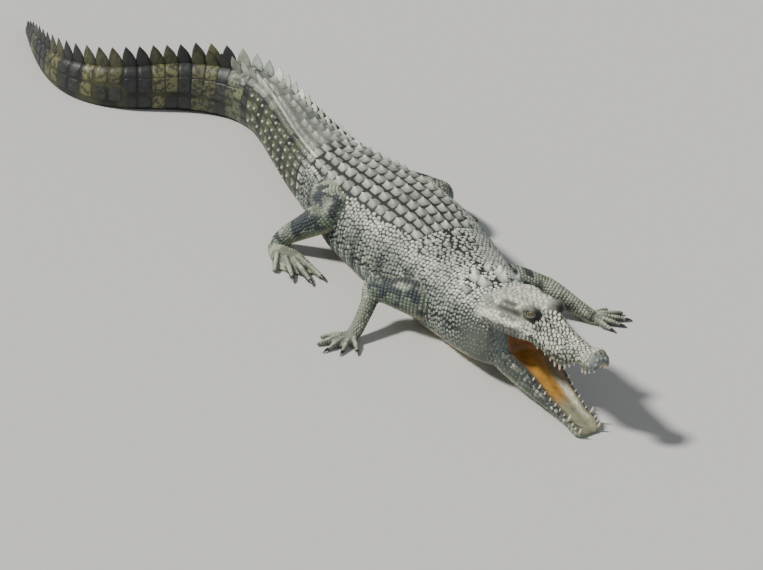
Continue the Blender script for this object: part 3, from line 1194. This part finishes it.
def tail_ring(s):
    """One ring of the tail: its scales, pale nodules near the hips and the plates between the two crests."""
    row, far = body_row(s), s > PANELS_FROM
    girth = BODY.col_gap[int(round(row))].sum()
    inner = first_value(crest_angle, s) if s < CREST_JOINS else 0
    tall = 33.0 if far else 21.0 if s > 900 else 17.0
    count = max(int(round(girth * (180 - inner) / 360 / tall)), 3)
    angles = inner + (np.arange(count) + 0.62) * (176 - inner) / count
    length = 14.3 if s < CREST_JOINS else 13.3
    wide = girth * (176 - inner) / 360 / count * (0.535 if far else 0.5)
    bump = np.where(angles < 70, 2.6 if s < 900 else 1.8, 1.2)
    keeled = (angles < 62) & (s < 1000)
    knobs = (angles > 40) & (angles < 105) & (s < 1010)
    for side in (1, -1):
        _, j = body_index(s, 90 - side * angles)
        for pick, form, grow in ((keeled, SCUTE, 3.0), (~keeled, PANEL if far else FLAT, 1.0)):
            add_scales("scales_tail", BODY, row, j[pick], length, wide * 0.96, bump[pick] * grow, form,
                       sink=0.9)
        add_scales("scales_tail", BODY, row - 1.0, j[knobs], 4.2, 3.4, 5.5, TUBERCLE,
                   tint=srgb(206, 212, 192))
    if inner > 8:
        width = 2 * inner / 360 * girth
        n = max(int(round(width / 19)), 1)
        _, j = body_index(s, 90 + (np.arange(n) - (n - 1) / 2) * (2 * inner / n))
        add_scales("scutes_back", BODY, row, j, 13.6, width / n * 0.47, 7.5, SCUTE, sink=0.9)


for s in ring_s:
    tail_ring(s)

# flanks, neck and belly
FLANK_GAPS, BELLY_GAPS = (9.3, 8.8), (17.0, 15.0)       # mm between scales, along and around
SHIELD_HALF_WIDTH = 79.0
FLANK_END, BELLY_START = 116, 119                       # degrees from the top

for name, keep_side in (("scales_flank_right", -1), ("scales_flank_left", 1)):
    for small in (False, True):
        i, j = lattice(BODY, body_row(-28), body_row(664), *FLANK_GAPS, 0.25)
        if small:
            i, j = i + 4.6 / ROW_LENGTH, j + 2.2 / np.mean(BODY.col_gap)
        s, a = BODY.station(i), j * 360.0 / BODY_COLS % 360
        off = from_top(a)
        side = np.where(np.cos(np.radians(a)) >= 0, 1, -1) == keep_side
        half = outline_at(s)[0]
        edge_x = np.minimum(SHIELD_HALF_WIDTH * np.minimum(1.0, half / 100) * shield_taper(s), half * 0.99)
        edge_off = np.abs(back_angle(s, edge_x) - 90)
        pick = side & ((s <= SHIELD_START - 13) | (off > edge_off)) & (off < FLANK_END) & off_nape(s, a)
        i, j, off, s = i[pick], j[pick], off[pick], s[pick]
        jowl = step(60, 84, off) * (1 - step(20, 110, s))
        size = (4.6 - 1.2 * jowl - 0.9 * (1 - step(0, 60, s))) * (0.85 + 0.3 * rng.random(len(i)))
        high = (2.0 - 1.3 * jowl - 0.6 * step(80, 112, off)) * (0.8 + 0.4 * rng.random(len(i)))
        if small:
            size, high = size * 0.46, high * 0.5
        add_scales(name, BODY, i, j, size * 1.12, size * 0.96, high, SMALL if small else TUBERCLE,
                   turn=rng.normal(0, 0.15, len(i)), uneven=0.12, sink=0.6)
i, j = lattice(BODY, body_row(30), body_row(660), *BELLY_GAPS, 0.0)
off = from_top(j * 360.0 / BODY_COLS)
pick = off > BELLY_START
add_scales("scales_belly", BODY, i[pick], j[pick], 8.3, 7.2, 0.8, FLAT, sink=0.5)


# head and jaws
EYE_CLEARANCE = 17.5


def head_scales(piece, sheet, u0, u1, along, around, size, high, template, allowed, small=True):
    """Scales on a jaw from u0 to u1 where allowed(u, corner) says so, with small ones between them."""
    first, last = sheet.row([u0, u1])
    i, j = lattice(sheet, first, last, along, around, 0.4 if small else 0.2)
    for part in (0, 1) if small else (0,):
        rows = i + part * 0.5 * along / np.mean(sheet.row_gap[int((first + last) / 2)])
        cols = j + part * 0.25 * around / np.mean(sheet.col_gap[int((first + last) / 2)])
        pick = allowed(sheet.station(rows), folded(cols))
        n = int(pick.sum())
        k = (0.82 + 0.3 * rng.random(n)) * (0.45 if part else 1.0)
        add_scales(piece, sheet, rows[pick], cols[pick], size[0] * k, size[1] * k, high * k, template,
                   turn=rng.normal(0, 0.5, n), uneven=0.22, sink=0.5)


def away_from_eyes(sheet, u, t):
    """True more than EYE_CLEARANCE from both eyes; t is folded, so both sides are looked at."""
    near = [sheet.sample(sheet.p, sheet.row(u), side * t * PER_CORNER) for side in (1, -1)]
    return np.minimum.reduce([np.linalg.norm(q - c, axis=-1) for q in near for c in EYES]) > EYE_CLEARANCE


def no_nostril(u, t):
    return ~((np.abs(u - NOSTRIL_AT[0]) < 0.022) & (t < 2.4))


def slit_clear(u, t):
    """True away from the ear slit and the crease over it, the first two folds of the head."""
    ear = (np.abs(t - HEAD_FOLDS[0][1]) < 0.2) & (u > 0.68) & (u < 0.94)
    return ~(ear | ((np.abs(t - HEAD_FOLDS[1][1]) < 0.16) & (u > 0.74) & (u < 0.90)))


KNOB = dome(9, ((1.0, 0.0, 1.0), (0.91, 0.55, 0.55), (0.70, 0.90, 0.1)), 2.6)
head_scales("scales_head", HEAD, 0.015, 0.60, 7.4, 8.6, (3.7, 4.2), 1.7, KNOB,
            lambda u, t: (t < 3.0) & no_nostril(u, t) & away_from_eyes(HEAD, u, t))
head_scales("scales_head", HEAD, 0.60, 1.02, 8.8, 8.4, (4.7, 4.3), 0.9, KNOB,
            lambda u, t: (t < 3.1) & slit_clear(u, t) & away_from_eyes(HEAD, u, t))
head_scales("scales_head", HEAD, 0.02, 1.04, 8.6, 6.4, (4.2, 2.9), 0.9, FLAT,
            lambda u, t: (t > 3.1) & (t < 4.15), small=False)
head_scales("scales_jaw", JAW, 0.05, 1.0, 8.4, 7.4, (4.4, 3.8), 0.8, KNOB,
            lambda u, t: (t > 2.75) & (t < 4.6))
head_scales("scales_jaw", JAW, 0.05, 1.08, 8.8, 7.8, (4.5, 3.9), 0.6, FLAT,
            lambda u, t: t >= 4.6, small=False)
for sheet in CHEEKS:
    i, j = lattice(sheet, 0.5, sheet.rows - 1.5, 5.6, 6.0, 0.3)
    outer = (cheek_corner(j) < 1.2) | (cheek_corner(j) > 3.9)
    add_scales("scales_jaw", sheet, i[outer], j[outer], 2.8, 3.1, 0.6, KNOB, uneven=0.2, sink=0.4)

# legs and feet
for sheet in [s for s in SHEETS if s.leg]:
    hind = "hind" in sheet.leg
    piece = "scales_hind_legs" if hind else "scales_fore_legs"
    if sheet.kind in ("upper_leg", "lower_leg"):
        gap = (7.4 if hind else 6.8) * (1.0 if sheet.kind == "upper_leg" else 0.92)
        i, j = lattice(sheet, 1.5, sheet.rows - 2.5, gap, gap * 0.92, 0.18)
        k = 0.9 + 0.2 * rng.random(len(i))
        add_scales(piece, sheet, i, j, 0.54 * gap * k, 0.50 * gap * k, 1.0, LEG_SCALE,
                   turn=rng.normal(0, 0.12, len(i)), uneven=0.1, sink=0.5)
    elif sheet.kind == "palm":
        i, j = lattice(sheet, 3, sheet.rows - 1.2, 5.6, 5.6, 0.2)
        add_scales(piece, sheet, i, j, 2.7, 2.6, 0.8, SMALL, uneven=0.15, sink=0.4)
    elif sheet.kind == "digit":
        top = np.argmax(sheet.p[sheet.rows // 2, :, 2])
        r = np.arange(3, sheet.rows - 3, 5.2 / max(sheet.row_gap[sheet.rows // 2].mean(), 0.3))
        width = sheet.col_gap[sheet.rows // 2].mean() * sheet.cols
        for column, share in ((0.0, 0.155), (0.28, 0.10), (-0.28, 0.10)):
            add_scales(piece, sheet, r + (0.5 if column else 0), top + column * sheet.cols, 2.5, width * share,
                       0.9, FLAT, sink=0.4)

# crest
RING, LEVELS = 14, 8                # points around a fin, and rings from its foot to its point
FIN_LENGTH, FIN_SWEEP = 27.5, 11.5


def facing_out(v, tri, inside):
    """Triangles turned so that they face away from a point inside the first ring."""
    a, b, c = v[tri[0]]
    return tri[:, ::-1] if np.cross(b - a, c - a) @ (a - inside) < 0 else tri


def fin(piece, s, angle, length, width, height, sweep):
    """A thin blade on the tail, swept back, with its point behind the middle of its foot."""
    g = np.linspace(0, 1, LEVELS)[:, None]
    turn = np.arange(RING) * 2 * np.pi / RING
    front = -length / 2 + (length / 2 + sweep) * (0.35 * g + 0.65 * g ** 2.4)
    rear = length / 2 + 4.0 * np.sin(np.pi * g ** 0.8) - (length / 2 - sweep - 1.0) * g ** 3
    half, middle = (rear - front) / 2 + 0.25, (rear + front) / 2
    thick = width / 2 * (1 - g) ** 0.75 + 0.45 + 1.2 * (1 - g) ** 6
    x = middle + half * np.cos(turn)
    y = thick * np.sign(np.sin(turn)) * np.abs(np.sin(turn)) ** 0.8
    z = -3.5 + (height + 3.5) * g - 1.5 * g * np.abs(np.cos(turn)) ** 2
    at, a = s + x, angle + 0 * x
    across = unit(body_point(at, a + 0.5, 0) - body_point(at, a - 0.5, 0))
    v = body_point(at, a, z) + across * y[..., None]
    v = np.concatenate([v.reshape(-1, 3), [v[-1].mean(0)]])
    tri = facing_out(v, capped(LEVELS, RING), v[:RING].mean(0))
    rgb, between, _ = paint_body(s, angle, body_point(s, angle))
    rgb = mix(rgb, BLACK, 0.45 * step(1000, 1180, s))
    share = np.concatenate([np.repeat(g[:, 0], RING), [1.0]])
    streak = step(0.42, 0.62, noise(np.stack([at, 0 * at + s, z * 0.35], -1), 4.5, 88, 2)).ravel()
    c = mix(between * 1.3, rgb * 1.25, np.clip(share * 2.2, 0, 1))
    c = mix(c, BLACK, 0.55 * np.append(streak, 0) * step(1000, 1150, s))
    i, j = body_index(at, a)
    rows = np.append(i.ravel(), i[-1].mean())
    cols = np.append((j + y / 9).ravel(), j[-1].mean())
    add_patches(piece, BODY, v[None], tri[None], c[None], rows[None], cols[None], np.array([float(np.mean(j))]))


for s in ring_s:
    if s > BODY_LENGTH - 30:
        break
    paired = s < CREST_JOINS
    height = first_value(fin_height, s)
    spread = first_value(crest_angle, s) if paired else 0.0
    for a in ((90 + spread, 90 - spread) if paired else (90.0,)):
        fin("crest", s, a, FIN_LENGTH, 9.0 if paired else 7.0, height * rng.uniform(0.96, 1.0), FIN_SWEEP)


def unwrap(uv):
    """The OFBake places: every sheet in its own square, filled by what the piece covers of it."""
    kinds = np.unique(uv[:, 2])
    side = math.ceil(math.sqrt(len(kinds)))
    out = np.zeros((len(uv), 2))
    for k, kind in enumerate(kinds):
        pick = uv[:, 2] == kind
        q = uv[pick, :2]
        low, high = q.min(0), q.max(0)
        q = 0.015 + 0.97 * (q - low) / np.maximum(high - low, 1e-6)
        out[pick] = (q + [k % side, k // side]) / side
    return out


def make_piece(name, store):
    v, f, c = (np.concatenate(store[k]) for k in ("v", "f", "c"))
    me = new_mesh(name, to_world(v), [f])
    set_colour(me, c)
    uv = unwrap(np.concatenate(store["uv"]))
    layer = me.uv_layers.new(name="OFBake")
    layer.data.foreach_set("uv", uv[f.ravel()].astype(np.float32).ravel())
    smooth_shade(me)
    return add_object(name, me)


coat = [make_piece(name, store) for name, store in PIECES.items()]

# ---------------------------------------------------------------- teeth, claws and eyes


def horn(path, radii, around):
    """Points and faces of a tapering rod along a path, closed at both ends."""
    path = np.asarray(path, float)
    along = unit(np.gradient(path, axis=0))
    side = unit(np.cross(along, [0.31, 0.17, 0.93]))
    other = np.cross(along, side)
    turn = np.arange(around) * 2 * np.pi / around
    ring = (path[:, None] + np.asarray(radii)[:, None, None]
            * (side[:, None] * np.cos(turn)[None, :, None] + other[:, None] * np.sin(turn)[None, :, None]))
    v = np.concatenate([ring.reshape(-1, 3), path[:1], path[-1:]])
    tri = np.concatenate([halved(ring_quads(len(path), around)), end_fans(len(path), around)])
    return v, facing_out(v, tri, path[0])


def joined_mesh(name, parts):
    """A smooth mesh of several parts, and its points in mm."""
    v, faces = joined(parts)
    me = new_mesh(name, to_world(v), faces)
    smooth_shade(me)
    return me, v


def root_to_tip(horns, levels, around):
    """How far each point of some horns is from root to tip, 0 to 1."""
    return np.tile(np.append(np.repeat(np.linspace(0, 1, levels), around), [0, 1]), len(horns))


TOOTH_LEVELS, TOOTH_AROUND, ROOT_DEPTH = 8, 10, 4
CLAW_LEVELS, CLAW_AROUND = 9, 12


def tooth(axes, u, y, z, length, way):
    """A curved cone from a place on a jaw; way is -1 for an upper tooth and 1 for a lower one."""
    g = np.linspace(0, 1, TOOTH_LEVELS)
    reach, root = length / HEAD_LENGTH, -ROOT_DEPTH / HEAD_LENGTH
    path = jaw_point(axes, u + 0.12 * reach * g ** 2, y + np.sign(y) * 0.10 * reach * np.sin(g * 2.2),
                     z + way * (root + (reach - root) * g))
    radii = (0.17 * length + 0.75) * np.clip(1 - g, 0, 1) ** 0.62 + 0.25
    return horn(path, radii, TOOTH_AROUND)


teeth = []
for u, length in UPPER_TEETH:
    w, lip = (float(upper_at(u)[k]) for k in (0, 7))
    teeth += [tooth(UPPER_AXES, u, side * (0.9 * w - 0.004), lip + 0.004, length, -1) for side in (1, -1)]
for u, length in LOWER_TEETH:
    w, rim = (float(lower_at(u)[k]) for k in (0, 1))
    teeth += [tooth(LOWER_AXES, u, side * (w - 0.012), rim - 0.003, length, 1) for side in (1, -1)]
me, v = joined_mesh("teeth", teeth)
along = root_to_tip(teeth, TOOTH_LEVELS, TOOTH_AROUND)
set_colour(me, mix(srgb(150, 132, 96), srgb(232, 226, 204), step(0.25, 0.75, along)))
teeth_piece = add_object("teeth", me)

claws = []
for leg_name, toes in TOES.items():
    toe = LEGS[leg_name]["toe"]
    for _, _, end, way in toes[:CLAWED]:
        g = np.linspace(0, 1, CLAW_LEVELS)[:, None]
        start, bend = end - way * 1.5, end + way * toe * 0.9 + [0, 0, 1.8]
        point = np.append((end + way * toe * 1.9)[:2], 0.6)
        path = start * (1 - g) ** 2 + 2 * bend * g * (1 - g) + point * g * g
        claws.append(horn(path, toe * 0.40 * (1 - g[:, 0]) ** 0.7 + 0.45, CLAW_AROUND))
me, v = joined_mesh("claws", claws)
along = root_to_tip(claws, CLAW_LEVELS, CLAW_AROUND)
set_colour(me, mix(srgb(40, 38, 36), srgb(108, 100, 84), step(0.5, 1.0, along)))
claws_piece = add_object("claws", me)

BALL_RADIUS = EYE_RADIUS - 0.6
eyes, lids = [], []
for centre, gaze, name in zip(EYES, GAZES, ("eye_ball_left", "eye_ball_right")):
    fore, rise = eye_axes(gaze)
    me, v = joined_mesh(name, [Sheet("eye", ball(centre, BALL_RADIUS, 64, 96), np.linspace(0, 1, 64)).mesh()])
    d = (v - centre) / BALL_RADIUS
    x, y, front = d @ fore, d @ rise, d @ gaze
    r = np.hypot(x, y)
    ray = noise(np.stack([np.arctan2(y, x) * 9, 0 * x, 0 * x], -1), 1.0, 7)
    iris = mix(srgb(112, 104, 62), srgb(70, 64, 38), np.clip(ray * 0.9, 0, 1))
    iris = mix(iris, srgb(52, 46, 30), step(0.50, 0.66, r))
    slit = (np.abs(x) < 0.075 * np.sqrt(np.clip(1 - (y / 0.50) ** 2, 0, 1))) & (front > 0)
    shade = mix(iris, srgb(8, 8, 8), slit.astype(float))
    shade = np.where((front > 0)[:, None], shade, srgb(60, 50, 40))
    set_colour(me, shade)
    eyes.append(add_object(name, me))
    turn = np.linspace(0, 2 * np.pi, 49)[:-1]
    for grow, lift, size in ((1.02, 0.9, 1.25), (1.22, 1.6, 0.9)):
        x = LID_WIDTH * grow * np.cos(turn)
        y = LID_HEIGHT * grow * np.sin(turn) * (1 - 0.12 * np.cos(turn) ** 2)
        z = np.sqrt(np.maximum((EYE_RADIUS + lift) ** 2 - x * x - y * y, 4))
        ring = centre + fore * x[:, None] + rise * y[:, None] + gaze * z[:, None]
        tube = np.concatenate([ring, ring[:1], ring[1:2]])
        lids.append((tube, np.full(len(tube), size)))
me, v = joined_mesh("eyelids", [horn(t, r, 8) for t, r in lids])
set_colour(me, mix(srgb(62, 58, 50), srgb(112, 110, 94), noise(v, 3, 12)))
eyelids = add_object("eyelids", me)

# ---------------------------------------------------------------- materials


def material(name, rough, bumps, mottle, coat_weight=0.0, wet=False):
    """A finish coloured by Col; bumps are (texture, scale, strength, distance) from coarse to fine."""
    m = bpy.data.materials.new(name)
    m.use_nodes = True
    link, bsdf = m.node_tree.links.new, m.node_tree.nodes["Principled BSDF"]

    def node(kind, inputs=(), **settings):
        made = m.node_tree.nodes.new("ShaderNode" + kind)
        for setting, value in settings.items():
            setattr(made, setting, value)
        for socket, value in inputs:
            made.inputs[socket].default_value = value
        return made

    bsdf.inputs["Roughness"].default_value = rough
    bsdf.inputs["Coat Weight"].default_value = coat_weight
    bsdf.inputs["Coat Roughness"].default_value = 0.25
    col = node("Attribute", attribute_name="Col")
    where = node("TexCoord").outputs["Object"]
    grain = node("TexNoise", [("Scale", mottle[0]), ("Detail", 5.0)])
    link(where, grain.inputs["Vector"])
    ramp = node("ValToRGB")
    low, high = 1 - mottle[1], 1 + 0.35 * mottle[1]
    for stop, position, rgba in ((0, 0.30, (low, low, low * 0.98, 1)), (1, 0.70, (high, high, high, 1))):
        ramp.color_ramp.elements[stop].position = position
        ramp.color_ramp.elements[stop].color = rgba
    link(grain.outputs["Fac"], ramp.inputs["Fac"])
    shade = node("Mix", [("Factor", 1.0)], data_type="RGBA", blend_type="MULTIPLY")
    link(col.outputs["Color"], shade.inputs[6])
    link(ramp.outputs["Color"], shade.inputs[7])
    link(shade.outputs[2], bsdf.inputs["Base Color"])
    into = bsdf
    for kind, scale, strength, distance in reversed(bumps):
        if kind == "noise":
            texture = node("TexNoise", [("Scale", scale), ("Detail", 6.0)])
            out = texture.outputs["Fac"]
        else:
            texture = node("TexVoronoi", [("Scale", scale)], feature="DISTANCE_TO_EDGE")
            out = texture.outputs["Distance"]
        link(where, texture.inputs["Vector"])
        bump = node("Bump", [("Strength", strength), ("Distance", distance)])
        link(out, bump.inputs["Height"])
        link(bump.outputs["Normal"], into.inputs["Normal"])
        into = bump
    if wet:
        damp = node("Attribute", attribute_name="wet")
        reach = node("MapRange", [("To Min", rough), ("To Max", 0.38)])
        link(damp.outputs["Fac"], reach.inputs["Value"])
        link(reach.outputs["Result"], bsdf.inputs["Roughness"])
    return m


HIDE = material("hide", 0.62, [("voronoi", 260, 0.55, 0.0012), ("noise", 900, 0.25, 0.0005)], (90, 0.30),
                wet=True)
SCALE = material("scale", 0.50, [("noise", 420, 0.45, 0.0010), ("noise", 1500, 0.25, 0.0004)], (240, 0.22),
                 0.05)
HORNY = material("horny_scute", 0.52, [("voronoi", 420, 0.5, 0.0010), ("noise", 900, 0.4, 0.0006)],
                 (180, 0.28), 0.05)
TOOTH = material("tooth", 0.30, [("noise", 500, 0.15, 0.0004)], (300, 0.12), 0.3)
CLAW = material("claw", 0.38, [("noise", 700, 0.25, 0.0004)], (400, 0.25), 0.2)
EYE = material("eye", 0.09, [], (600, 0.10), 1.0)
skin.data.materials.append(HIDE)
for o in coat:
    o.data.materials.append(HORNY if o.name in ("scutes_back", "crest") else SCALE)
teeth_piece.data.materials.append(TOOTH)
claws_piece.data.materials.append(CLAW)
eyelids.data.materials.append(HIDE)
for o in eyes:
    o.data.materials.append(EYE)
set_wetness(eyelids.data, np.full(len(eyelids.data.vertices), 0.5))

# ---------------------------------------------------------------- what stands for what
FLESH = [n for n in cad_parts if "claw" not in n and "eye" not in n]
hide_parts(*FLESH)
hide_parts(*[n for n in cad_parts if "claw" in n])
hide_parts("eye_left")
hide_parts("eye_right")
SLOTS = [(skin, "hide"), (teeth_piece, "jaws"), (claws_piece, "claw"), (eyelids, "hide")]
for o, slot in SLOTS + [(o, "eye") for o in eyes] + [(o, "hide") for o in coat]:
    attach(o, "root")

# ---------------------------------------------------------------- studio
FLOOR_REACH, FLOOR_LEVEL = 60.0, -0.0004
corners = [[x * FLOOR_REACH, y * FLOOR_REACH, FLOOR_LEVEL] for x, y in ((-1, -1), (1, -1), (1, 1), (-1, 1))]
floor_mesh = new_mesh("floor", corners, [np.array([[0, 1, 2, 3]])])
floor = add_object("floor", floor_mesh)
ground = bpy.data.materials.new("ground")
ground.use_nodes = True
ground_finish = ground.node_tree.nodes["Principled BSDF"].inputs
ground_finish["Base Color"].default_value = (0.62, 0.62, 0.60, 1)
ground_finish["Roughness"].default_value = 0.85
floor_mesh.materials.append(ground)

world = bpy.data.worlds.new("studio")
world.use_nodes = True
sky = world.node_tree.nodes["Background"].inputs
sky["Color"].default_value = (0.86, 0.90, 0.96, 1)
sky["Strength"].default_value = 0.22
bpy.context.scene.world = world


def soft_sun(name, towards, strength, angle, rgb):
    """A broad even light; towards points from the animal to the light."""
    data = bpy.data.lights.new(name, "SUN")
    data.energy, data.angle, data.color = strength, math.radians(angle), rgb
    add_object(name, data).rotation_euler = Vector(towards).to_track_quat("Z", "Y").to_euler()


soft_sun("key", (-0.62, 0.24, 0.72), 4.3, 7, (1.0, 0.97, 0.92))
soft_sun("fill", (0.3, -0.8, 0.52), 0.5, 70, (0.92, 0.96, 1.0))

# camera: where the photograph was taken from
AZIMUTH, ELEVATION, ROLL = np.radians([-30.0, 30.56, 3.61])
TARGET, DISTANCE = np.array([-0.11394, -0.35056, 0.060]), 9.1766
FOCAL, PHOTO_WIDTH = 4955.3, 763
back = np.array([np.sin(AZIMUTH) * np.cos(ELEVATION), -np.cos(AZIMUTH) * np.cos(ELEVATION),
                 np.sin(ELEVATION)])
right = np.array([np.cos(AZIMUTH), np.sin(AZIMUTH), 0.0])
up = np.cross(back, right)
right, up = right * np.cos(ROLL) + up * np.sin(ROLL), up * np.cos(ROLL) - right * np.sin(ROLL)
camera_data = bpy.data.cameras.new("camera")
camera_data.sensor_width = 36.0
camera_data.lens = 36.0 * FOCAL / PHOTO_WIDTH
camera_data.clip_end = 50.0
camera = add_object("camera", camera_data)
axes_and_place = np.stack([right, up, back, TARGET + back * DISTANCE], 1)
camera.matrix_world = Matrix(np.concatenate([axes_and_place, [[0, 0, 0, 1]]]).tolist())
bpy.context.scene.camera = camera
